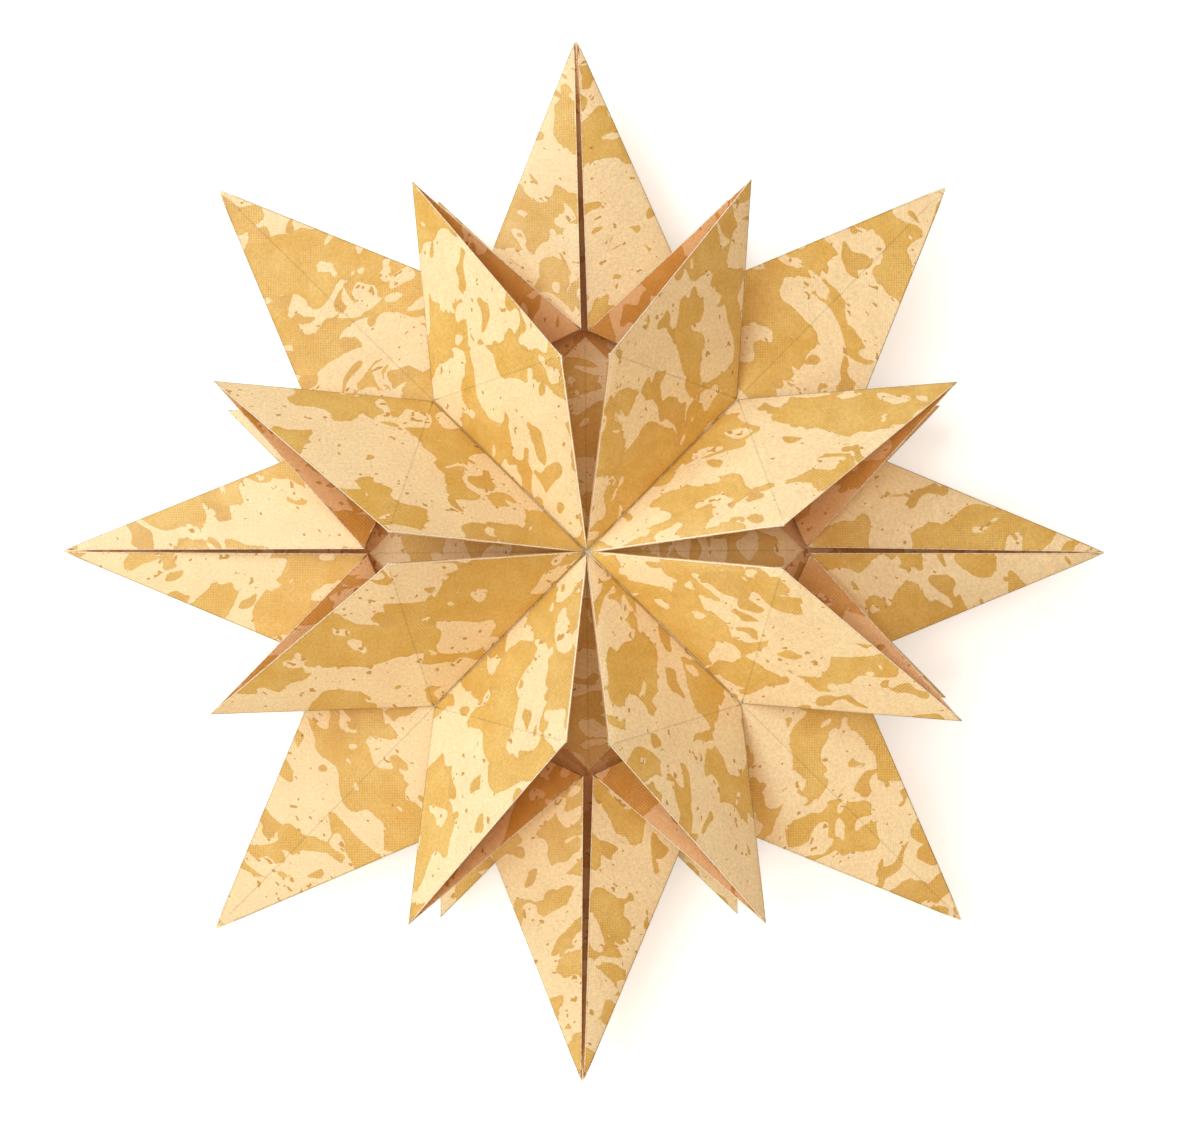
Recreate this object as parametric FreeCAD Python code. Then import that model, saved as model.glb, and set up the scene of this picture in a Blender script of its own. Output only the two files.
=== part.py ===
"""Paper star folded from eight square sheets, in two layers of four glued base to base.

Every sheet is folded the same way from one square. Its point corner becomes a long point of
the star, the opposite corner becomes a short spear that lies on the base, and the two side
corners become the wing tips. The front layer opens upwards. The back layer is turned by half
a step and opens downwards, so the star lies on the wings of its back layer.

Frame: millimetres, +Z up out of the star's face, the north point along +Y, and the origin
below the centre, in the plane that the star rests on.
"""
import FreeCAD, Part
import math
import os

Vector = FreeCAD.Vector
UP = Vector(0, 0, 1)

DIMENSIONS = (
    ("sheet_side", 150.0, "side of each square sheet, and so centre to point"),
    ("paper_thickness", 0.25, "embossed craft paper"),
    ("fold_bulge", 0.0125, "how far a fold stands out past the faces beside it"),
    ("wing_corner_angle", 46.8, "wing's corner at the centre, degrees in the flat sheet"),
    ("front_wing_lift", 41.0, "rise of the front wings off the base, degrees"),
    ("front_flap_lift", 13.0, "rise of the front flaps off the base, degrees"),
    ("back_wing_lift", 24.0, "rise of the back wings, which carry the star, degrees"),
    ("back_flap_lift", 3.0, "rise of the back flaps, degrees"),
    ("back_slit", 0.7, "how far apart the two flaps of a back sheet start at the point"),
    ("layer_gap", 0.15, "air between the layers that lie one inside the other"),
    ("seam_gap", 0.25, "air between neighbouring sheets along their seam"),
    ("glue_film", 0.02, "glue between the two layers of sheets"),
)

# Hand folding leaves each front sheet a little different: what it adds to the lift of the
# left and right wing and flap, in degrees, how far its point leans sideways, and how far
# apart its two flaps start at the point, in mm. The heading turns the sheet from north.
FRONT_SHEETS = (
    {"name": "north", "heading": 0, "wings": (3.5, 2), "flaps": (2, -1), "lean": -1.9, "slit": 1.1},
    {"name": "east", "heading": -90, "wings": (-0.5, 2), "flaps": (-3, 3.5), "lean": 1.4, "slit": 0.4},
    {"name": "south", "heading": 180, "wings": (-1, 2), "flaps": (2, 5), "lean": 2.4, "slit": 0.8},
    {"name": "west", "heading": 90, "wings": (-4, -3), "flaps": (-6.5, 0.5), "lean": 1.4, "slit": 0.6},
)
BACK_SHEETS = (
    {"name": "northwest", "heading": 45},
    {"name": "northeast", "heading": -45},
    {"name": "southeast", "heading": -135},
    {"name": "southwest", "heading": 135},
)

# Facets of a half sheet from the point round to the spear, each by its corners, and the folds
# between them. The lining is the part of the wing that is turned under it at the hem, whose
# fold is thicker because it holds two layers.
FACETS = (
    ("heel", "shoulder", "flap"),
    ("flap", "shoulder", "wing_tip"),
    ("wing_tip", "shoulder", "wing_corner"),
    ("wing_corner", "shoulder", "centre"),
    ("spear_root", "lining_corner", "spear_shoulder"),
)
FOLDS = (
    ("heel", "shoulder"),
    ("shoulder", "flap"),
    ("shoulder", "wing_tip"),
    ("shoulder", "wing_corner"),
    ("shoulder", "centre"),
    ("spear_root", "spear_shoulder"),
)
BEAD_SIDES = 6


def add_dimensions(doc):
    """Put the driving dimensions in a spreadsheet, one named cell each."""
    cells = doc.addObject("Spreadsheet::Sheet", "Dimensions")
    for row, (alias, size, meaning) in enumerate(DIMENSIONS, start=1):
        cells.set(f"A{row}", meaning)
        cells.set(f"B{row}", str(size))
        cells.setAlias(f"B{row}", alias)
    doc.recompute()
    return cells


def crossing(start, along, other_start, other_along):
    """Return where two lines of the flat sheet cross."""
    across = Vector(-other_along.y, other_along.x, 0)
    return start + along * ((other_start - start).dot(across) / along.dot(across))


def crease_pattern(cells, slit):
    """Return the left half of the flat sheet: its corners and where its creases end.

    The point corner is at the origin and the diagonal to the spear's tip runs along +Y.
    The kite folds bring both edges at the point to the diagonal, which sets the shoulder.
    They start on the edges, at the heel, where the edges lie a slit apart.
    """
    side = cells.get("sheet_side")
    half_diagonal = side / math.sqrt(2)
    centre = Vector(0, side, 0)
    wing_tip = Vector(-half_diagonal, half_diagonal, 0)
    spear_tip = Vector(0, 2 * half_diagonal, 0)

    def on_far_edge(angle_from_base_fold):
        """Follow a crease from the centre out to the edge from wing tip to spear tip."""
        heading = math.radians(225 - angle_from_base_fold)
        crease = Vector(math.cos(heading), math.sin(heading), 0)
        return crossing(centre, crease, wing_tip, spear_tip - wing_tip)

    wing_corner_angle = cells.get("wing_corner_angle")
    return {
        "point": Vector(0, 0, 0),
        "heel": Vector(-slit / 2, slit / 2, 0),
        "centre": centre,
        "shoulder": Vector(half_diagonal - side, half_diagonal, 0),
        "flap": wing_tip * (2 - math.sqrt(2)),
        "wing_tip": wing_tip,
        "wing_corner": on_far_edge(wing_corner_angle),
        "spear_shoulder": on_far_edge(wing_corner_angle + 45),
        "spear_tip": spear_tip,
    }


def inward_of(fold):
    """Return the direction in the base plane that leads from a left-hand fold inwards."""
    across = UP.cross(fold).normalize()
    return across if across.x > 0 else across * -1


def hinged_corner(near, far, to_near, to_far, lift):
    """Swing a facet's free corner about a fold of the base, by lift degrees out of the base.

    The corner keeps its flat distances to both ends of the fold.
    """
    fold = far - near
    reach = (to_near ** 2 - to_far ** 2 + fold.Length ** 2) / (2 * fold.Length)
    height = math.sqrt(to_near ** 2 - reach ** 2)
    angle = math.radians(lift)
    swing = inward_of(fold) * math.cos(angle) + UP * math.sin(angle)
    return near + Vector(fold).normalize() * reach + swing * height


def corner_from_three(anchors, lengths):
    """Return the upper of the two points that lie at the given lengths from three anchors."""
    first, second, third = anchors
    along = Vector(second - first).normalize()
    offset = along.dot(third - first)
    sideways = (third - first - along * offset).normalize()
    normal = along.cross(sideways)
    span = (second - first).Length
    width = sideways.dot(third - first)
    x = (lengths[0] ** 2 - lengths[1] ** 2 + span ** 2) / (2 * span)
    y = (lengths[0] ** 2 - lengths[2] ** 2 + offset ** 2 + width ** 2) / (2 * width)
    y -= x * offset / width
    z = math.sqrt(lengths[0] ** 2 - x ** 2 - y ** 2)
    base = first + along * x + sideways * y
    return max((base + normal * z, base - normal * z), key=lambda corner: corner.z)


def layer_pitch(cells):
    """Return the distance between the middle surfaces of two layers that lie together."""
    return cells.get("paper_thickness") + cells.get("layer_gap")


def add_outer_corners(corners, length, wing_lift, flap_lift):
    """Work out the corners of the flap, the wing and its tip from the base and the lifts."""
    corners["wing_corner"] = hinged_corner(
        corners["centre"], corners["shoulder"],
        length("centre", "wing_corner"), length("shoulder", "wing_corner"), wing_lift)
    corners["flap"] = hinged_corner(
        corners["heel"], corners["shoulder"],
        length("heel", "flap"), length("shoulder", "flap"), flap_lift)
    around_tip = ("shoulder", "wing_corner", "flap")
    corners["wing_tip"] = corner_from_three(
        [corners[name] for name in around_tip],
        [length("wing_tip", name) for name in around_tip])


def add_inner_corners(corners, length, wing_lift, pitch):
    """Work out the lining and spear, which lie one pitch inside the wing and the base.

    The spear's fold runs parallel to the base fold, where both inner layers meet.
    """
    base_fold = Vector(corners["shoulder"]).normalize()
    inset = pitch / math.tan(math.radians(wing_lift / 2))
    fold_length = math.sqrt(length("centre", "spear_shoulder") ** 2 - inset ** 2)
    across = inward_of(base_fold) * inset + UP * pitch
    corners["spear_shoulder"] = base_fold * fold_length + across

    wing_normal = corners["wing_corner"].cross(corners["shoulder"]).normalize()
    hem = Vector(corners["wing_corner"]).normalize()
    hem_setback = inset / math.sin(hem.getAngle(base_fold))
    corners["lining_corner"] = corners["wing_corner"] - wing_normal * pitch
    corners["hem_start"] = hem * hem_setback - wing_normal * (pitch / 2)
    corners["hem_end"] = corners["wing_corner"] - wing_normal * (pitch / 2)
    return inset


def folded_corners(cells, wing_lifts, flap_lifts, lean, slit):
    """Return the corners of the left and right half of a folded sheet, centre at the origin."""
    flat = crease_pattern(cells, slit)

    def length(start, end):
        return (flat[start] - flat[end]).Length

    shoulder = flat["shoulder"] - flat["centre"]
    heel = flat["heel"] - flat["centre"]
    pitch = layer_pitch(cells)
    halves = []
    insets = []
    for wing_lift, flap_lift, sideways in zip(wing_lifts, flap_lifts, (lean, -lean)):
        corners = {
            "centre": Vector(0, 0, 0),
            "point": Vector(sideways, length("centre", "point"), 0),
            "heel": Vector(sideways + heel.x, -heel.y, 0),
            "shoulder": Vector(shoulder.x, -shoulder.y, 0),
        }
        add_outer_corners(corners, length, wing_lift, flap_lift)
        insets.append(add_inner_corners(corners, length, wing_lift, pitch))
        halves.append(corners)

    left, right = halves
    for corners in halves:
        corners["spear_tip"] = Vector(0, length("centre", "spear_tip"), pitch)
    root = Vector(insets[0] - insets[1], insets[0] + insets[1], 0) / math.sqrt(2)
    left["spear_root"] = Vector(root.x, root.y, pitch)
    right["spear_root"] = Vector(-root.x, root.y, pitch)
    mirrored = {name: Vector(-corner.x, corner.y, corner.z) for name, corner in right.items()}
    return left, mirrored


def plate(corners, thickness):
    """Return a flat facet of paper around its middle surface."""
    normal = (corners[1] - corners[0]).cross(corners[2] - corners[0]).normalize()
    under_side = [corner - normal * (thickness / 2) for corner in corners]
    outline = Part.makePolygon(under_side + under_side[:1])
    return Part.Face(outline).extrude(normal * thickness)


def fold_bead(start, end, ridge, radius):
    """Return the ridge of paper along a fold: a bar with six sides, one corner towards ridge."""
    fold = end - start
    across = Vector(fold).cross(ridge).normalize()
    outward = across.cross(fold).normalize()
    section = []
    for side in range(BEAD_SIDES):
        turn = 2 * math.pi * side / BEAD_SIDES
        section.append(start + (outward * math.cos(turn) + across * math.sin(turn)) * radius)
    return Part.Face(Part.makePolygon(section + section[:1])).extrude(fold)


def fold_radius(cells):
    return cells.get("paper_thickness") / 2 + cells.get("fold_bulge")


def sheet_solid(cells, wing_lifts, flap_lifts, lean, slit):
    """Return one folded sheet, its base flat in XY, its centre at the origin, point to +Y."""
    thickness = cells.get("paper_thickness")
    left, right = folded_corners(cells, wing_lifts, flap_lifts, lean, slit)
    base_outline = [left["centre"], right["shoulder"], right["heel"],
                    left["point"], left["heel"], left["shoulder"]]
    base = plate(base_outline, thickness)
    spear_outline = [left["spear_root"], right["spear_shoulder"],
                     left["spear_tip"], left["spear_shoulder"]]
    pieces = [plate(spear_outline, thickness)]
    for half in (left, right):
        for facet in FACETS:
            pieces.append(plate([half[name] for name in facet], thickness))
        for start, end in FOLDS:
            pieces.append(fold_bead(half[start], half[end], UP, fold_radius(cells)))
        hem_radius = fold_radius(cells) + layer_pitch(cells) / 2
        wing_normal = half["wing_corner"].cross(half["shoulder"])
        pieces.append(fold_bead(half["hem_start"], half["hem_end"], wing_normal, hem_radius))
    return base.multiFuse(pieces).removeSplitter()


def add_sheet(doc, label, shape, turn, position):
    """Add a folded sheet to the document and place it in the star."""
    sheet = doc.addObject("Part::Feature", label)
    sheet.Label = label
    sheet.Shape = shape
    sheet.Placement = FreeCAD.Placement(position, turn)
    return sheet


def add_star(doc, cells):
    """Add the eight sheets, the back layer's wings resting on the plane z = 0."""
    base_height = fold_radius(cells) + cells.get("glue_film") / 2
    seam_pitch = cells.get("seam_gap") + 2 * fold_radius(cells)
    out_from_centre = seam_pitch / math.sqrt(2)

    back_wings = (cells.get("back_wing_lift"),) * 2
    back_flaps = (cells.get("back_flap_lift"),) * 2
    back_shape = sheet_solid(cells, back_wings, back_flaps, 0, cells.get("back_slit"))
    glue_plane = back_shape.BoundBox.ZMax + base_height

    def place(label, shape, heading, height, upside_down):
        turn = FreeCAD.Rotation(UP, heading)
        position = turn.multVec(Vector(0, out_from_centre, 0)) + UP * height
        flip = FreeCAD.Rotation(Vector(0, 1, 0), 180 if upside_down else 0)
        return add_sheet(doc, label, shape, turn.multiply(flip), position)

    sheets = []
    for fold in BACK_SHEETS:
        label = "back_sheet_" + fold["name"]
        height = glue_plane - base_height
        sheets.append(place(label, back_shape.copy(), fold["heading"], height, True))
    for fold in FRONT_SHEETS:
        label = "front_sheet_" + fold["name"]
        wings = [cells.get("front_wing_lift") + extra for extra in fold["wings"]]
        flaps = [cells.get("front_flap_lift") + extra for extra in fold["flaps"]]
        shape = sheet_solid(cells, wings, flaps, fold["lean"], fold["slit"])
        sheets.append(place(label, shape, fold["heading"], glue_plane + base_height, False))
    return sheets


def check_document(doc, sheets):
    """Stop if any object failed, or if a sheet isn't one sound solid."""
    for item in doc.Objects:
        if "Invalid" in item.State or "Error" in item.State:
            raise RuntimeError(f"{item.Label} failed: {item.State}")
    for sheet in sheets:
        shape = sheet.Shape
        if shape.isNull() or not shape.isValid() or len(shape.Solids) != 1:
            raise RuntimeError(f"{sheet.Label} is not one sound solid")


def main():
    doc = FreeCAD.newDocument("OrigamiStar")
    cells = add_dimensions(doc)
    sheets = add_star(doc, cells)
    doc.recompute()
    check_document(doc, sheets)
    os.makedirs("parts", exist_ok=True)
    for sheet in sheets:
        sheet.Shape.exportStep(f"parts/{sheet.Label}.step")


main()
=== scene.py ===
"""Looks of the folded paper star: eight sheets of printed paper, each one closed mesh.

Every sheet is folded again here from the same flat square as its solid, so that the print
runs over the paper as it would on the flat sheet and bends with it at the folds. Folding is
worked out in millimetres and the meshes are made in metres.
"""
import math

import bpy
from mathutils import Euler, Matrix, Vector, noise


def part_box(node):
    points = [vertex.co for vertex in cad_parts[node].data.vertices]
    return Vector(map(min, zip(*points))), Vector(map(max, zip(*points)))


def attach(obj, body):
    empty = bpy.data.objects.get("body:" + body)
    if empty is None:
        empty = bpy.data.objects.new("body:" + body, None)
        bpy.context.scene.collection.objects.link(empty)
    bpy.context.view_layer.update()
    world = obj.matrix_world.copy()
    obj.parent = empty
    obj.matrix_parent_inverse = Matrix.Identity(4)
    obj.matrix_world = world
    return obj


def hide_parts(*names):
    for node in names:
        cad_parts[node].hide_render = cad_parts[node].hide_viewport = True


MM = 0.001
UP = Vector((0, 0, 1))

# The sheet and its folds, as in the solids.
SHEET_SIDE = 150.0
PAPER = 0.25
PITCH = 0.40
WING_CORNER_ANGLE = 46.8
FRONT_WING_LIFT, FRONT_FLAP_LIFT = 41.0, 13.0
BACK_WING_LIFT, BACK_FLAP_LIFT = 24.0, 3.0
BACK_SLIT = 0.7
SEAM_PITCH = 0.525
GLUE_FILM = 0.02
BASE_HEIGHT = 0.1475
FRONT_SHEETS = (
    {"name": "north", "heading": 0,
     "wings": (3.5, 2), "flaps": (2, -1), "lean": -1.9, "slit": 1.1},
    {"name": "east", "heading": -90,
     "wings": (-0.5, 2), "flaps": (-3, 3.5), "lean": 1.4, "slit": 0.4},
    {"name": "south", "heading": 180,
     "wings": (-1, 2), "flaps": (2, 5), "lean": 2.4, "slit": 0.8},
    {"name": "west", "heading": 90,
     "wings": (-4, -3), "flaps": (-6.5, 0.5), "lean": 1.4, "slit": 0.6},
)
EVEN_FOLD = {"wings": (0, 0), "flaps": (0, 0), "lean": 0, "slit": BACK_SLIT}
BACK_SHEETS = (
    {"name": "northwest", "heading": 45, **EVEN_FOLD},
    {"name": "northeast", "heading": -45, **EVEN_FOLD},
    {"name": "southeast", "heading": -135, **EVEN_FOLD},
    {"name": "southwest", "heading": 135, **EVEN_FOLD},
)

# Facets of a half sheet: corners in the flat sheet, corners once folded, the layer they are
# in, and how far the middle of the facet bows out towards its printed side, in mm.
FACETS = (
    (("centre", "shoulder", "point"), ("centre", "shoulder", "point"), "outer", 0.0),
    (("heel", "shoulder", "flap"), ("heel", "shoulder", "flap"), "outer", 0.7),
    (("flap", "shoulder", "wing_tip"), ("flap", "shoulder", "wing_tip"), "outer", 0.3),
    (("wing_tip", "shoulder", "wing_corner"), ("wing_tip", "shoulder", "wing_corner"),
     "outer", 0.4),
    (("wing_corner", "shoulder", "centre"), ("wing_corner", "shoulder", "centre"),
     "outer", 0.6),
    (("centre", "wing_corner", "spear_shoulder"),
     ("spear_root", "lining_corner", "spear_shoulder"), "inner", 0.0),
    (("centre", "spear_shoulder", "spear_tip"),
     ("spear_root", "spear_shoulder", "spear_tip"), "inner", 0.0),
)
# How finely facets and hems are divided, how wide the band along a fold is in mm, and how the
# bow of the facets ripples. SWELL_SCALE makes the swell 1 in the middle of a facet.
GRID = 18
HEM_STEPS = 5
FOLD_BAND = 0.35
RIPPLE_SIZE, RIPPLE = 34, 0.8
SWELL_SCALE = 27

# What the paper's look depends on, besides the place in the flat sheet: marks on fold, hem and
# raw-edge points.
# Folds and hems get a painted crease shade and a small ridge in the relief. Raw edges get a
# lighter band that is partly worn paper and partly painted highlight. Each sheet and each side
# has its own stretch of the print's noise.
FOLD_CREASE_SHADE, HEM_CREASE_SHADE, RAW_EDGE_WEAR_AND_HIGHLIGHT = 0.12, 0.04, 1.0
PRINTED, REVERSE, CUT = 0.0, 0.5, 1.0
SHEET_PRINT, REVERSE_PRINT = 37.0, 211.0


def crossing(start, along, other_start, other_along):
    """Return where two lines of the flat sheet cross."""
    across = Vector((-other_along.y, other_along.x, 0))
    return start + along * ((other_start - start).dot(across) / along.dot(across))


def crease_pattern(slit):
    """Return the left half of the flat sheet: its corners and where its creases end."""
    half_diagonal = SHEET_SIDE / math.sqrt(2)
    centre = Vector((0, SHEET_SIDE, 0))
    wing_tip = Vector((-half_diagonal, half_diagonal, 0))
    spear_tip = Vector((0, 2 * half_diagonal, 0))

    def on_far_edge(angle_from_base_fold):
        heading = math.radians(225 - angle_from_base_fold)
        crease = Vector((math.cos(heading), math.sin(heading), 0))
        return crossing(centre, crease, wing_tip, spear_tip - wing_tip)

    return {
        "point": Vector((0, 0, 0)),
        "heel": Vector((-slit / 2, slit / 2, 0)),
        "centre": centre,
        "shoulder": Vector((half_diagonal - SHEET_SIDE, half_diagonal, 0)),
        "flap": wing_tip * (2 - math.sqrt(2)),
        "wing_tip": wing_tip,
        "wing_corner": on_far_edge(WING_CORNER_ANGLE),
        "spear_shoulder": on_far_edge(WING_CORNER_ANGLE + 45),
        "spear_tip": spear_tip,
    }


def inward_of(fold):
    """Return the direction in the base plane that leads from a left-hand fold inwards."""
    across = UP.cross(fold).normalized()
    return across if across.x > 0 else -across


def hinged_corner(near, far, to_near, to_far, lift):
    """Swing a facet's free corner about a fold of the base, by lift degrees out of the base."""
    fold = far - near
    reach = (to_near ** 2 - to_far ** 2 + fold.length ** 2) / (2 * fold.length)
    height = math.sqrt(to_near ** 2 - reach ** 2)
    angle = math.radians(lift)
    swing = inward_of(fold) * math.cos(angle) + UP * math.sin(angle)
    return near + fold.normalized() * reach + swing * height


def corner_from_three(anchors, lengths):
    """Return the upper of the two points that lie at the given lengths from three anchors."""
    first, second, third = anchors
    along = (second - first).normalized()
    offset = along.dot(third - first)
    sideways = (third - first - along * offset).normalized()
    normal = along.cross(sideways)
    span = (second - first).length
    width = sideways.dot(third - first)
    x = (lengths[0] ** 2 - lengths[1] ** 2 + span ** 2) / (2 * span)
    y = (lengths[0] ** 2 - lengths[2] ** 2 + offset ** 2 + width ** 2) / (2 * width)
    y -= x * offset / width
    z = math.sqrt(lengths[0] ** 2 - x ** 2 - y ** 2)
    base = first + along * x + sideways * y
    return max((base + normal * z, base - normal * z), key=lambda corner: corner.z)


def folded_half(flat, wing_lift, flap_lift, lean):
    """Return the corners of a folded left half, its centre at the origin, and its inset."""

    def length(start, end):
        return (flat[start] - flat[end]).length

    shoulder = flat["shoulder"] - flat["centre"]
    heel = flat["heel"] - flat["centre"]
    corners = {
        "centre": Vector((0, 0, 0)),
        "point": Vector((lean, length("centre", "point"), 0)),
        "heel": Vector((lean + heel.x, -heel.y, 0)),
        "shoulder": Vector((shoulder.x, -shoulder.y, 0)),
    }
    corners["wing_corner"] = hinged_corner(
        corners["centre"], corners["shoulder"],
        length("centre", "wing_corner"), length("shoulder", "wing_corner"), wing_lift)
    corners["flap"] = hinged_corner(
        corners["heel"], corners["shoulder"],
        length("heel", "flap"), length("shoulder", "flap"), flap_lift)
    around_tip = ("shoulder", "wing_corner", "flap")
    corners["wing_tip"] = corner_from_three(
        [corners[name] for name in around_tip],
        [length("wing_tip", name) for name in around_tip])

    base_fold = corners["shoulder"].normalized()
    inset = PITCH / math.tan(math.radians(wing_lift / 2))
    fold_length = math.sqrt(length("centre", "spear_shoulder") ** 2 - inset ** 2)
    corners["spear_shoulder"] = (
        base_fold * fold_length + inward_of(base_fold) * inset + UP * PITCH)
    wing_normal = corners["wing_corner"].cross(corners["shoulder"]).normalized()
    corners["lining_corner"] = corners["wing_corner"] - wing_normal * PITCH
    corners["spear_tip"] = Vector((0, length("centre", "spear_tip"), PITCH))
    return corners, inset


def mirrored(corner):
    return Vector((-corner.x, corner.y, corner.z))


def folded_sheet(flat, wing_lifts, flap_lifts, lean):
    """Return the corners of both folded halves, left and right."""
    left, left_inset = folded_half(flat, wing_lifts[0], flap_lifts[0], lean)
    right, right_inset = folded_half(flat, wing_lifts[1], flap_lifts[1], -lean)
    root = Vector((left_inset - right_inset, left_inset + right_inset, 0)) / math.sqrt(2)
    left["spear_root"] = Vector((root.x, root.y, PITCH))
    right["spear_root"] = Vector((-root.x, root.y, PITCH))
    return left, {name: mirrored(corner) for name, corner in right.items()}


class Surface:
    """Middle surface of one sheet: points with their place in the flat sheet, and faces."""

    def __init__(self):
        self.places = []
        self.flats = []
        self.wear_and_painted_light = []
        self.faces = []
        self.known = {}

    def point(self, layer, flat, place, wear_and_painted_light=0.0):
        """Return the number of a point, made once for each place of a layer."""
        key = (layer, round(flat.x, 3), round(flat.y, 3))
        if key not in self.known:
            self.known[key] = len(self.places)
            self.places.append(place)
            self.flats.append(flat)
            self.wear_and_painted_light.append(wear_and_painted_light)
        return self.known[key]

    def face(self, *points):
        """Add a face with its printed side outwards, which is anticlockwise in the sheet."""
        area = 0.0
        for here, there in zip(points, points[1:] + points[:1]):
            start, end = self.flats[here], self.flats[there]
            area += start.x * end.y - end.x * start.y
        self.faces.append(points if area > 0 else points[::-1])


def blend(weights, corners):
    return corners[0] * weights[0] + corners[1] * weights[1] + corners[2] * weights[2]


def add_facet(surface, flat, folded, layer, bow, seed):
    """Add a facet as a fine grid, with a narrow band along each of its edges."""
    normal = (folded[1] - folded[0]).cross(folded[2] - folded[0]).normalized()
    turn = (flat[1] - flat[0]).cross(flat[2] - flat[0]).z
    outward = normal if turn > 0 else -normal
    double_area = abs(turn)
    band = []
    for corner in range(3):
        opposite = (flat[(corner + 1) % 3] - flat[(corner + 2) % 3]).length
        band.append(FOLD_BAND * opposite / double_area)
    scale = 1 - sum(band)

    def inner(steps):
        weights = [edge + scale * step / GRID for edge, step in zip(band, steps)]
        spot = blend(weights, flat)
        ripple = noise.noise(Vector((spot.x / RIPPLE_SIZE, spot.y / RIPPLE_SIZE, seed)))
        swell = SWELL_SCALE * weights[0] * weights[1] * weights[2]
        lift = bow * swell * (1 + RIPPLE * ripple)
        return surface.point(layer, spot, blend(weights, folded) + outward * lift)

    def outer(steps):
        weights = [step / GRID for step in steps]
        return surface.point(layer, blend(weights, flat), blend(weights, folded), FOLD_CREASE_SHADE)

    for i in range(GRID):
        for j in range(GRID - i):
            k = GRID - i - j
            surface.face(inner((i, j, k)), inner((i + 1, j, k - 1)), inner((i, j + 1, k - 1)))
            if k > 1:
                surface.face(inner((i + 1, j, k - 1)), inner((i + 1, j + 1, k - 2)),
                             inner((i, j + 1, k - 1)))
    for corner in range(3):
        for i in range(GRID):
            here, there = [0, 0, 0], [0, 0, 0]
            here[corner], here[(corner + 1) % 3] = GRID - i, i
            there[corner], there[(corner + 1) % 3] = GRID - i - 1, i + 1
            surface.face(outer(here), outer(there), inner(there), inner(here))


def add_heel(surface, flat, half):
    """Fill the sliver of the base between the line from its point and the kite fold."""
    rows = []
    for i in range(GRID + 1):
        along = i / GRID
        rows.append([
            surface.point("outer", flat[start].lerp(flat["shoulder"], along),
                          half[start].lerp(half["shoulder"], along), FOLD_CREASE_SHADE)
            for start in ("point", "heel")])
    for row, following in zip(rows, rows[1:-1]):
        surface.face(row[0], following[0], following[1], row[1])
    surface.face(rows[-2][0], rows[-1][0], rows[-2][1])


def hem_rows(surface, flat, half):
    """Return rows of points that round the wing's edge, from its outside to the lining."""
    wing_edge = half["wing_corner"] - half["centre"]
    wing_normal = wing_edge.cross(half["shoulder"] - half["centre"])
    outward = wing_normal.cross(wing_edge).normalized()
    if outward.dot(half["shoulder"] - half["centre"]) > 0:
        outward.negate()
    rows = []
    for i in range(GRID + 1):
        along = i / GRID
        spot = flat["centre"].lerp(flat["wing_corner"], along)
        top = half["centre"].lerp(half["wing_corner"], along)
        under = half["spear_root"].lerp(half["lining_corner"], along)
        middle, arm = (top + under) / 2, (top - under) / 2
        row = [surface.point("outer", spot, top)]
        for step in range(1, HEM_STEPS):
            turn = math.pi * step / HEM_STEPS
            place = middle + arm * math.cos(turn) + outward * (PITCH / 2 * math.sin(turn))
            row.append(surface.point(f"hem {step}", spot, place, HEM_CREASE_SHADE))
        row.append(surface.point("inner", spot, under))
        rows.append(row)
    return rows


def stitch_hem(surface, rows, anticlockwise):
    """Add the faces of a hem, whose points share their place in the flat sheet."""
    for row, following in zip(rows, rows[1:]):
        for step in range(HEM_STEPS):
            quad = (row[step], following[step], following[step + 1], row[step + 1])
            surface.faces.append(quad if anticlockwise else quad[::-1])


def sheet_surface(flat_left, halves, seed):
    """Return the middle surface of a folded sheet."""
    flat_right = {name: mirrored(corner) for name, corner in flat_left.items()}
    surface = Surface()
    for flat, half, is_left in ((flat_left, halves[0], True), (flat_right, halves[1], False)):
        for flat_names, folded_names, layer, bow in FACETS:
            add_facet(surface, [flat[name] for name in flat_names],
                      [half[name] for name in folded_names], layer, bow, seed)
        add_heel(surface, flat, half)
        stitch_hem(surface, hem_rows(surface, flat, half), is_left)
    return surface


def point_normals(surface):
    """Return the mean direction of the printed side at every point."""
    normals = [Vector((0, 0, 0)) for _ in surface.places]
    for face in surface.faces:
        places = [surface.places[point] for point in face]
        across = (places[2] - places[0]).cross(places[-1] - places[1])
        if len(face) == 3:
            across = (places[1] - places[0]).cross(places[2] - places[0])
        if across.length > 0:
            across.normalize()
        for number, point in enumerate(face):
            before = places[number - 1] - places[number]
            after = places[(number + 1) % len(face)] - places[number]
            if before.length > 0 and after.length > 0:
                normals[point] += across * before.angle(after)
    return [normal.normalized() for normal in normals]


def open_edges(surface):
    """Return the raw edges of the sheet, each in the direction of its face."""
    used = {}
    for face in surface.faces:
        for start, end in zip(face, face[1:] + face[:1]):
            used[(start, end)] = used.get((start, end), 0) + 1
    return [edge for edge in used if edge[::-1] not in used]


def add_attribute(mesh, name, kind, domain, field, values):
    """Give a mesh a named value at each of its points, edges or faces."""
    mesh.attributes.new(name, kind, domain).data.foreach_set(field, values)


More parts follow.
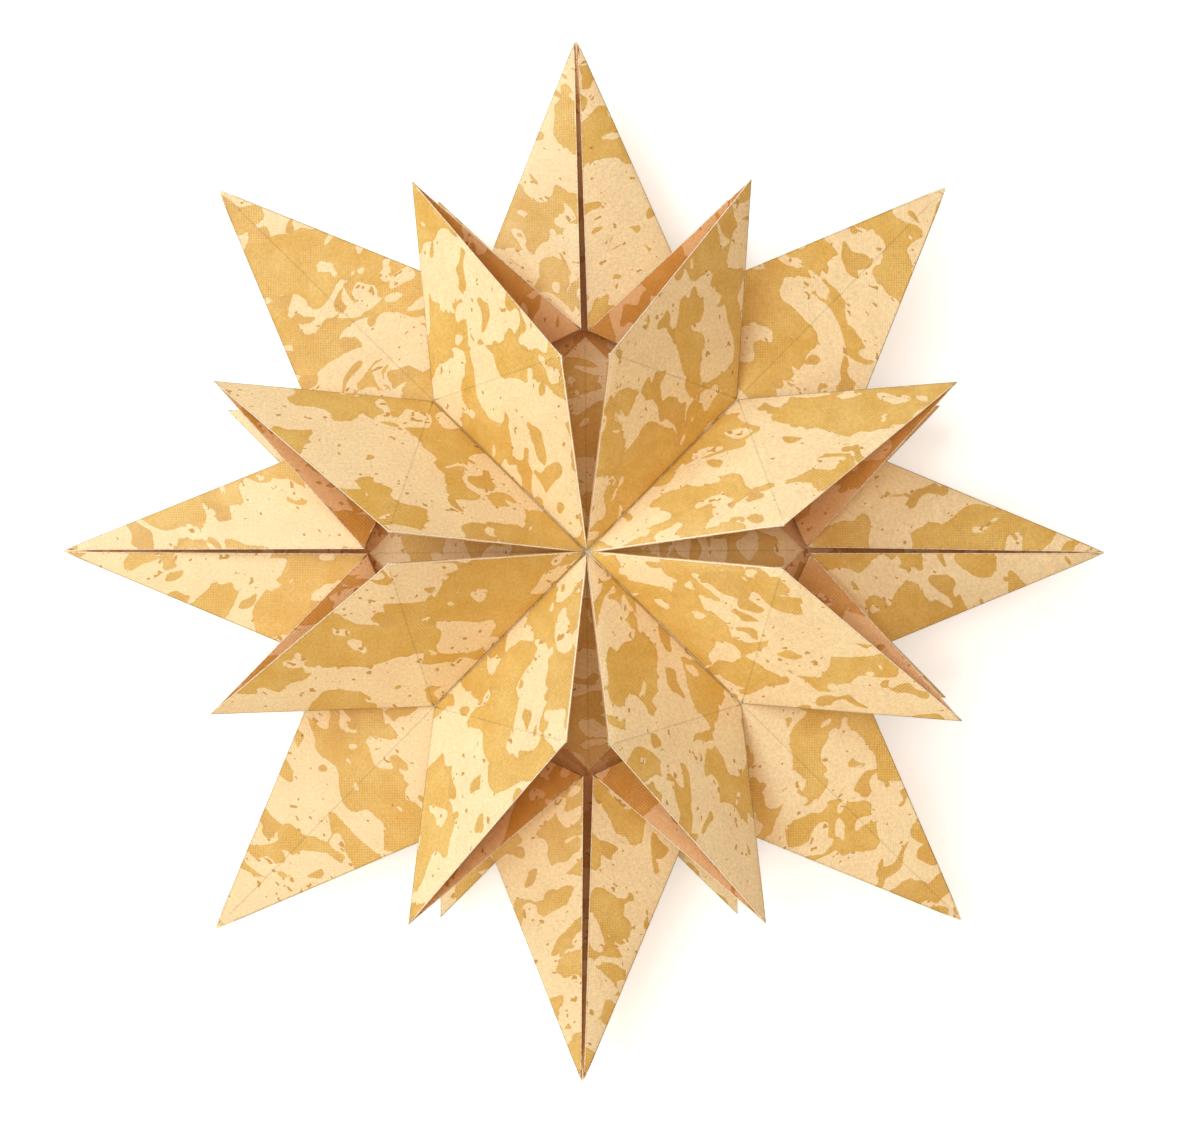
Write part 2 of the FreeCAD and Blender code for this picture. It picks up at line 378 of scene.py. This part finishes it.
def sheet_mesh(name, flat, halves, place, seed):
    """Make a sheet's closed mesh: both of its sides and the cut edges between them."""
    surface = sheet_surface(flat, halves, seed)
    normals = point_normals(surface)
    count = len(surface.places)
    over = [place @ ((spot + normal * (PAPER / 2)) * MM)
            for spot, normal in zip(surface.places, normals)]
    under = [place @ ((spot - normal * (PAPER / 2)) * MM)
             for spot, normal in zip(surface.places, normals)]
    rims = open_edges(surface)
    faces = [tuple(face) for face in surface.faces]
    faces += [tuple(point + count for point in reversed(face)) for face in surface.faces]
    faces += [(end, start, start + count, end + count) for start, end in rims]

    mesh = bpy.data.meshes.new(name)
    mesh.from_pydata(over + under, [], faces)
    mesh.shade_smooth()
    spots = []
    for print_seed in (seed, seed + REVERSE_PRINT):
        spots += [value for spot in surface.flats for value in (spot.x, spot.y, print_seed)]
    sides = [PRINTED] * len(surface.faces) + [REVERSE] * len(surface.faces)
    sides += [CUT] * len(rims)
    wear_and_painted_light = list(surface.wear_and_painted_light)
    for start, end in rims:
        wear_and_painted_light[start] = wear_and_painted_light[end] = RAW_EDGE_WEAR_AND_HIGHLIGHT
    raw = {frozenset(edge) for edge in rims}
    sharp = [frozenset(vertex % count for vertex in edge.vertices) in raw
             for edge in mesh.edges]
    add_attribute(mesh, "sheet_mm", "FLOAT_VECTOR", "POINT", "vector", spots)
    add_attribute(mesh, "wear_and_painted_light", "FLOAT", "POINT", "value", wear_and_painted_light * 2)
    add_attribute(mesh, "side", "FLOAT", "FACE", "value", sides)
    add_attribute(mesh, "sharp_edge", "BOOLEAN", "EDGE", "value", sharp)
    mesh.update()
    return mesh


def srgb(red, green, blue):
    """Return a colour written in 0-255 display values as a linear colour."""
    def linear(value):
        value /= 255
        return value / 12.92 if value <= 0.04045 else ((value + 0.055) / 1.055) ** 2.4
    return linear(red), linear(green), linear(blue), 1.0


CREAM, CREAM_DEEP = srgb(247, 220, 172), srgb(244, 213, 164)
GOLD, GOLD_DEEP = srgb(226, 184, 102), srgb(218, 170, 80)
SPECK, DOT = srgb(204, 154, 78), srgb(150, 92, 48)
CUT_EDGE = srgb(252, 240, 214)
# The reverse side is drawn darker and redder: partly a deeper print, partly painted shade for
# the recesses, which are the only places where the reverse shows.
REVERSE_PRINT_AND_SHADE_TINT = (0.87, 0.66, 0.53)

# The print: sizes in mm on the flat sheet, and the noise values at which its shapes begin
# and are whole.
STREAK_TURN, STREAK_STRETCH = 0.6, (0.8, 1.25, 1.0)
WANDER_SIZE, WANDER = 17, 13.0
BLOTCH_SIZE, OVAL_SIZE, SPECK_SIZE, NIB_SIZE = 15, 6.8, 2.1, 1.9
PATCH_SIZE, CLOUD_SIZE, GRAIN_SIZE = 26, 9, 0.8
BLOTCH_EDGE, RIM_EDGE = (0.514, 0.520), (0.520, 0.540)
CREAM_OVAL_EDGE, GOLD_OVAL_EDGE = (0.645, 0.651), (0.333, 0.327)
SPECK_EDGE = (0.682, 0.694)
DOT_SPACING, DOT_EDGE, DOT_CHANCE = 10, (0.055, 0.035), 0.5
RIM_SHARE, DOT_SHARE = 0.35, 0.8

# How much one noise of the print moves the edges of another, and where each begins.
NIBS_IN_BLOTCHES, NIBS_IN_OVALS = 0.045, 0.05
PATCHES_IN_OVALS, BLOTCHES_IN_SPECKS = 0.45, 0.35
PATCH_START, OVAL_START = (61.0, 17.0, 7.0), (311.0, 127.0, 53.0)
SPECK_START = (83.0, 229.0, 91.0)

# The linen: threads along both sides of the sheet, pressed harder in some places.
WEAVE_PITCH = 0.72
BEND_SIZE, BEND = 2.4, 0.35
PRESS_SIZE, PRESS_EDGE = 11, (0.30, 0.65)

# The paper's tone and relief: the noise values between which clouds and the worn,
# painted-highlight spots at raw edges come in, what grain and weave add to the tone and what
# the painted crease shade takes off it, and the heights in shares of the relief.
GOLD_CLOUD, CREAM_CLOUD, WORN_HIGHLIGHT_GRAIN = (0.35, 0.65), (0.3, 0.7), (0.25, 0.55)
GRAIN_TONE, WEAVE_TONE, GOLD_WEAVE_TONE, CREASE_SHADE_TONE = 0.50, 0.05, 0.10, -0.2
RELIEF_STRENGTH, RELIEF_DEPTH = 0.5, 0.00006
RIDGE_HEIGHT, WEAVE_HEIGHT = 12.0, 1.5
ROUGHNESS, GOLD_ROUGHNESS = 0.62, -0.2


class Nodes:
    """Short calls for the nodes of one material."""

    def __init__(self, name):
        self.material = bpy.data.materials.new(name)
        self.material.use_nodes = True
        self.tree = self.material.node_tree
        self.tree.nodes.clear()

    def add(self, kind, **settings):
        node = self.tree.nodes.new(kind)
        for setting, value in settings.items():
            setattr(node, setting, value)
        return node

    def put(self, socket, value):
        """Set a socket to a value, or link it to another node's output."""
        if isinstance(value, bpy.types.NodeSocket):
            self.tree.links.new(value, socket)
        else:
            socket.default_value = value

    def math(self, operation, first, second=0.0, third=0.0):
        node = self.add("ShaderNodeMath", operation=operation)
        for socket, value in zip(node.inputs, (first, second, third)):
            self.put(socket, value)
        return node.outputs[0]

    def vector(self, operation, first, second=(0, 0, 0), scale=1.0):
        node = self.add("ShaderNodeVectorMath", operation=operation)
        self.put(node.inputs[0], first)
        self.put(node.inputs[1], second)
        self.put(node.inputs[3], scale)
        return node.outputs[0]

    def noise(self, vector, size, detail=0.0, roughness=0.5, distortion=0.0):
        """Return noise whose features are about size mm across, as value and colour."""
        node = self.add("ShaderNodeTexNoise")
        self.put(node.inputs["Vector"], vector)
        node.inputs["Scale"].default_value = 1 / size
        node.inputs["Detail"].default_value = detail
        node.inputs["Roughness"].default_value = roughness
        node.inputs["Distortion"].default_value = distortion
        return node.outputs[0], node.outputs[1]

    def ramp(self, value, low, high):
        """Return 0 below low and 1 above high."""
        node = self.add("ShaderNodeMapRange")
        self.put(node.inputs["Value"], value)
        node.inputs["From Min"].default_value = low
        node.inputs["From Max"].default_value = high
        return node.outputs[0]

    def rest(self, share):
        """Return what a share leaves of 1."""
        return self.math("SUBTRACT", 1.0, share)

    def centred(self, value):
        """Return noise moved so that it lies evenly about 0."""
        return self.math("SUBTRACT", value, 0.5)

    def stray(self, vector, size, reach):
        """Return the vector moved about by noise, by up to about half its reach."""
        drift = self.vector("SUBTRACT", self.noise(vector, size, 1)[1], (0.5, 0.5, 0.5))
        return self.vector("SCALE", drift, scale=reach)

    def turned(self, vector, turn, scale=(1.0, 1.0, 1.0)):
        """Return the vector turned about Z by turn radians, and scaled."""
        node = self.add("ShaderNodeMapping")
        self.put(node.inputs["Vector"], vector)
        node.inputs["Rotation"].default_value = (0.0, 0.0, turn)
        node.inputs["Scale"].default_value = scale
        return node.outputs[0]

    def attribute(self, name, output="Fac"):
        return self.add("ShaderNodeAttribute", attribute_name=name).outputs[output]

    def mix(self, share, first, second):
        """Return a colour between two colours."""
        node = self.add("ShaderNodeMix", data_type="RGBA")
        self.put(node.inputs[0], share)
        self.put(node.inputs[6], first)
        self.put(node.inputs[7], second)
        return node.outputs[2]


def gold_print(nodes, sheet):
    """Return how much of gold, of a blotch's rim, of a speck and of a dot is at each place."""
    drawn = nodes.turned(sheet, STREAK_TURN, STREAK_STRETCH)
    wandered = nodes.vector("ADD", drawn, nodes.stray(drawn, WANDER_SIZE, WANDER))
    nibs = nodes.centred(nodes.noise(wandered, NIB_SIZE, 1)[0])
    broad = nodes.noise(wandered, BLOTCH_SIZE, 0.8, 0.4)[0]
    field = nodes.math("MULTIPLY_ADD", nibs, NIBS_IN_BLOTCHES, broad)

    patch = nodes.noise(nodes.vector("ADD", sheet, PATCH_START), PATCH_SIZE)[0]
    shifted = nodes.vector("ADD", drawn, OVAL_START)
    ovals = nodes.noise(shifted, OVAL_SIZE, 0.4, 0.4, 0.5)[0]
    ovals = nodes.math("MULTIPLY_ADD", nibs, NIBS_IN_OVALS, ovals)
    ovals = nodes.math("MULTIPLY_ADD", nodes.centred(patch), PATCHES_IN_OVALS, ovals)
    gold = nodes.math("MAXIMUM", nodes.ramp(field, *BLOTCH_EDGE),
                      nodes.ramp(ovals, *GOLD_OVAL_EDGE))
    gold = nodes.math("MULTIPLY", gold, nodes.rest(nodes.ramp(ovals, *CREAM_OVAL_EDGE)))
    rim = nodes.math("SUBTRACT", gold, nodes.ramp(field, *RIM_EDGE))

    shifted = nodes.vector("ADD", drawn, SPECK_START)
    specks = nodes.noise(shifted, SPECK_SIZE, 1)[0]
    specks = nodes.math("MULTIPLY_ADD", nodes.centred(broad), BLOTCHES_IN_SPECKS, specks)
    speck = nodes.math("MULTIPLY", nodes.ramp(specks, *SPECK_EDGE), nodes.rest(gold))

    cell = nodes.add("ShaderNodeTexVoronoi", feature="F1")
    cell.inputs["Scale"].default_value = 1 / DOT_SPACING
    nodes.put(cell.inputs["Vector"], wandered)
    chosen = nodes.math("GREATER_THAN", cell.outputs["Color"], DOT_CHANCE)
    dot = nodes.math("MULTIPLY", nodes.ramp(cell.outputs["Distance"], *DOT_EDGE), chosen)
    return gold, rim, speck, dot


def linen_weave(nodes, sheet):
    """Return the height of the linen embossing, from -1 to 1."""
    along_sides = nodes.turned(sheet, math.radians(45))
    threads = nodes.vector("ADD", along_sides, nodes.stray(sheet, BEND_SIZE, BEND))
    threads = nodes.vector("SCALE", threads, scale=2 * math.pi / WEAVE_PITCH)
    split = nodes.add("ShaderNodeSeparateXYZ")
    nodes.put(split.inputs[0], nodes.vector("SINE", threads))
    weave = nodes.math("ADD", split.outputs["X"], split.outputs["Y"])
    weave = nodes.math("MULTIPLY", weave, 0.5)
    pressed = nodes.ramp(nodes.noise(sheet, PRESS_SIZE, 1)[0], *PRESS_EDGE)
    return nodes.math("MULTIPLY", weave, pressed)


def printed_paper():
    """Craft paper printed on both sides with crisp gold blotches on cream."""
    nodes = Nodes("printed_paper")
    sheet = nodes.attribute("sheet_mm", "Vector")
    side = nodes.attribute("side")
    wear_and_painted_light = nodes.attribute("wear_and_painted_light")
    gold_share, rim, speck, dot = gold_print(nodes, sheet)
    weave = linen_weave(nodes, sheet)
    grain = nodes.noise(sheet, GRAIN_SIZE, 2, 0.6)[0]
    cloud = nodes.noise(sheet, CLOUD_SIZE, 2, 0.6)[0]

    gold = nodes.mix(nodes.ramp(cloud, *GOLD_CLOUD), GOLD_DEEP, GOLD)
    gold = nodes.mix(nodes.math("MULTIPLY", rim, RIM_SHARE), gold, SPECK)
    cream = nodes.mix(nodes.ramp(cloud, *CREAM_CLOUD), CREAM_DEEP, CREAM)
    printed = nodes.mix(speck, nodes.mix(gold_share, cream, gold), SPECK)
    colour = nodes.mix(nodes.math("MULTIPLY", dot, DOT_SHARE), printed, DOT)
    # Darker, redder reverse side: partly its own print, partly painted shade of the recesses.
    reverse_with_shade = nodes.vector("MULTIPLY", colour, REVERSE_PRINT_AND_SHADE_TINT)
    is_reverse = nodes.math("GREATER_THAN", side, (PRINTED + REVERSE) / 2)
    is_cut = nodes.math("GREATER_THAN", side, (REVERSE + CUT) / 2)
    colour = nodes.mix(is_reverse, colour, reverse_with_shade)
    colour = nodes.mix(is_cut, colour, CUT_EDGE)
    # Raw edges are lightened towards the cut edge's colour, in grainy patches: partly worn
    # paper, partly a painted highlight along the edges.
    worn_and_highlight = nodes.math("MULTIPLY", nodes.ramp(wear_and_painted_light, FOLD_CREASE_SHADE, RAW_EDGE_WEAR_AND_HIGHLIGHT),
                      nodes.ramp(grain, *WORN_HIGHLIGHT_GRAIN))
    colour = nodes.mix(worn_and_highlight, colour, CUT_EDGE)

    tone = nodes.math("MULTIPLY_ADD", nodes.centred(grain), GRAIN_TONE, 1.0)
    depth = nodes.math("MULTIPLY_ADD", gold_share, GOLD_WEAVE_TONE, WEAVE_TONE)
    tone = nodes.math("MULTIPLY_ADD", weave, depth, tone)
    # Folds fully, and hems a third as much, are darkened a little: painted shade in the
    # creases.
    crease = nodes.math("SUBTRACT", nodes.ramp(wear_and_painted_light, 0.0, FOLD_CREASE_SHADE),
                        nodes.ramp(wear_and_painted_light, FOLD_CREASE_SHADE, RAW_EDGE_WEAR_AND_HIGHLIGHT / 2))
    tone = nodes.math("MULTIPLY_ADD", crease, CREASE_SHADE_TONE, tone)
    colour = nodes.vector("SCALE", colour, scale=tone)

    relief = nodes.add("ShaderNodeBump")
    relief.inputs["Strength"].default_value = RELIEF_STRENGTH
    relief.inputs["Distance"].default_value = RELIEF_DEPTH
    ridge = nodes.math("MINIMUM", wear_and_painted_light, FOLD_CREASE_SHADE)
    height = nodes.math("MULTIPLY_ADD", ridge, RIDGE_HEIGHT, grain)
    height = nodes.math("MULTIPLY_ADD", weave, WEAVE_HEIGHT, height)
    nodes.put(relief.inputs["Height"], height)

    shader = nodes.add("ShaderNodeBsdfPrincipled")
    nodes.put(shader.inputs["Base Color"], colour)
    nodes.put(shader.inputs["Roughness"],
              nodes.math("MULTIPLY_ADD", gold_share, GOLD_ROUGHNESS, ROUGHNESS))
    nodes.put(shader.inputs["Normal"], relief.outputs[0])
    output = nodes.add("ShaderNodeOutputMaterial")
    nodes.put(output.inputs["Surface"], shader.outputs[0])
    return nodes.material


def add_sheets(paper):
    """Make the eight sheets, each in the place of its solid."""
    out_from_centre = SEAM_PITCH / math.sqrt(2)
    glue_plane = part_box("front_sheet_north")[0][2] / MM - GLUE_FILM / 2
    groups = (("back", BACK_SHEETS, BACK_WING_LIFT, BACK_FLAP_LIFT, -1, math.pi),
              ("front", FRONT_SHEETS, FRONT_WING_LIFT, FRONT_FLAP_LIFT, 1, 0.0))
    seed = 0
    for layer, sheets, wing_lift, flap_lift, direction, flip in groups:
        for fold in sheets:
            seed += 1
            flat = crease_pattern(fold["slit"])
            halves = folded_sheet(flat, [wing_lift + extra for extra in fold["wings"]],
                                  [flap_lift + extra for extra in fold["flaps"]], fold["lean"])
            turn = Matrix.Rotation(math.radians(fold["heading"]), 4, "Z")
            shift = turn @ Vector((0, out_from_centre, 0))
            shift.z = glue_plane + direction * BASE_HEIGHT
            place = (Matrix.Translation(shift * MM) @ turn
                     @ Matrix.Rotation(flip, 4, "Y"))
            name = f"paper_{layer}_{fold['name']}"
            mesh = sheet_mesh(name, flat, halves, place, seed * SHEET_PRINT)
            mesh.materials.append(paper)
            sheet = bpy.data.objects.new(name, mesh)
            bpy.context.scene.collection.objects.link(sheet)
            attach(sheet, "root")
            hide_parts(f"{layer}_sheet_{fold['name']}")


FLOOR_HALF = 3.0
FLOOR_COLOUR = srgb(238, 238, 238)
NEAR_GLOW, FAR_GLOW = 0.45, 0.72
NEAR, FAR = 0.4, 1.2


def add_floor():
    """A plain white floor that keeps the star's soft shadow and stays white farther out."""
    nodes = Nodes("floor_white")
    matt = nodes.add("ShaderNodeBsdfDiffuse")
    matt.inputs["Color"].default_value = FLOOR_COLOUR
    distance = nodes.add("ShaderNodeVectorMath", operation="LENGTH")
    nodes.put(distance.inputs[0], nodes.add("ShaderNodeNewGeometry").outputs["Position"])
    far = nodes.ramp(distance.outputs["Value"], NEAR, FAR)
    glow = nodes.add("ShaderNodeEmission")
    nodes.put(glow.inputs["Strength"],
              nodes.math("MULTIPLY_ADD", far, FAR_GLOW - NEAR_GLOW, NEAR_GLOW))
    both = nodes.add("ShaderNodeAddShader")
    nodes.put(both.inputs[0], matt.outputs[0])
    nodes.put(both.inputs[1], glow.outputs[0])
    path = nodes.add("ShaderNodeLightPath")
    seen = nodes.math("MAXIMUM", path.outputs["Is Camera Ray"], path.outputs["Is Glossy Ray"])
    seen = nodes.math("MAXIMUM", seen, path.outputs["Is Transmission Ray"])
    choice = nodes.add("ShaderNodeMixShader")
    nodes.put(choice.inputs[0], seen)
    nodes.put(choice.inputs[1], matt.outputs[0])
    nodes.put(choice.inputs[2], both.outputs[0])
    output = nodes.add("ShaderNodeOutputMaterial")
    nodes.put(output.inputs["Surface"], choice.outputs[0])

    corners = [(x * FLOOR_HALF, y * FLOOR_HALF, 0)
               for x, y in ((-1, -1), (1, -1), (1, 1), (-1, 1))]
    mesh = bpy.data.meshes.new("floor")
    mesh.from_pydata(corners, [], [(0, 1, 2, 3)])
    mesh.materials.append(nodes.material)
    floor = bpy.data.objects.new("floor", mesh)
    bpy.context.scene.collection.objects.link(floor)


# The soft boxes' names, places and sizes in metres, powers in watts and tints. Three stand to
# the left of the star, and one is overhead.
COOL, NEUTRAL, WARM = (0.72, 0.88, 1.0), (0.97, 1.0, 0.88), (1.0, 0.63, 0.34)
LAMPS = (
    ("key", (-0.6, 0.6, 0.6), 0.5, 4.6, COOL),
    ("key_low", (-0.6, -0.6, 0.6), 0.5, 2.4, NEUTRAL),
    ("key_high", (-0.5, 0.05, 0.85), 0.5, 2.75, COOL),
    ("overhead", (0, 0, 1.0), 0.6, 2.8, WARM),
)
STAR_MIDDLE = Vector((0, 0, 0.02))
AMBIENT, AMBIENT_STRENGTH = (1.0, 0.92, 0.81, 1.0), 0.385
WHITE = (1.0, 1.0, 1.0, 1.0)


def add_lamps():
    for name, place, size, power, tint in LAMPS:
        data = bpy.data.lights.new(name, "AREA")
        data.shape = "SQUARE"
        data.size = size
        data.energy = power
        data.color = tint
        lamp = bpy.data.objects.new(name, data)
        lamp.location = place
        aim = (Vector(place) - STAR_MIDDLE).to_track_quat("Z", "Y")
        lamp.rotation_euler = aim.to_euler()
        bpy.context.scene.collection.objects.link(lamp)


def add_world():
    """Even light from all around, which the camera sees as white."""
    world = bpy.data.worlds.new("studio")
    world.use_nodes = True
    tree = world.node_tree
    background = tree.nodes["Background"]
    background.inputs["Color"].default_value = AMBIENT
    background.inputs["Strength"].default_value = AMBIENT_STRENGTH
    glare = tree.nodes.new("ShaderNodeBackground")
    glare.inputs["Strength"].default_value = 1.0
    glare.inputs["Color"].default_value = WHITE
    path = tree.nodes.new("ShaderNodeLightPath")
    choice = tree.nodes.new("ShaderNodeMixShader")
    tree.links.new(path.outputs["Is Camera Ray"], choice.inputs[0])
    tree.links.new(background.outputs[0], choice.inputs[1])
    tree.links.new(glare.outputs[0], choice.inputs[2])
    tree.links.new(choice.outputs[0], tree.nodes["World Output"].inputs["Surface"])
    bpy.context.scene.world = world


# Millimetres for the lens and sensor, shares of the picture for the shift, metres for the
# place and the nearest thing seen, and degrees for the angles.
LENS, SENSOR_WIDTH, LENS_SHIFT = 45.35, 36.0, (0.0078, -0.0231)
CAMERA_PLACE, CAMERA_ANGLES = (-0.0058, -0.0212, 0.4542), (3.018, -0.887, -0.481)
NEAREST_SEEN = 0.01


def add_camera():
    """A camera that looks down on the star, within a few degrees of straight down."""
    data = bpy.data.cameras.new("camera")
    data.sensor_width = SENSOR_WIDTH
    data.lens = LENS
    data.shift_x, data.shift_y = LENS_SHIFT
    data.clip_start = NEAREST_SEEN
    camera = bpy.data.objects.new("camera", data)
    camera.location = CAMERA_PLACE
    camera.rotation_euler = Euler([math.radians(angle) for angle in CAMERA_ANGLES], "XYZ")
    bpy.context.scene.collection.objects.link(camera)
    bpy.context.scene.camera = camera


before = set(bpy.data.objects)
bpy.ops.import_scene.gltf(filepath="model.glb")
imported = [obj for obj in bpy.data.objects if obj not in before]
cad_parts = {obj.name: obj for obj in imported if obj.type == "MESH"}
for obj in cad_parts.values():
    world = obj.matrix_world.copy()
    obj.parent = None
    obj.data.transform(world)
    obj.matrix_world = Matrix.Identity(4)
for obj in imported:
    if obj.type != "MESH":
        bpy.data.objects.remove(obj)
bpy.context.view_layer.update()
bpy.context.scene.view_settings.view_transform = "Standard"
add_camera()
add_sheets(printed_paper())
add_floor()
add_lamps()
add_world()
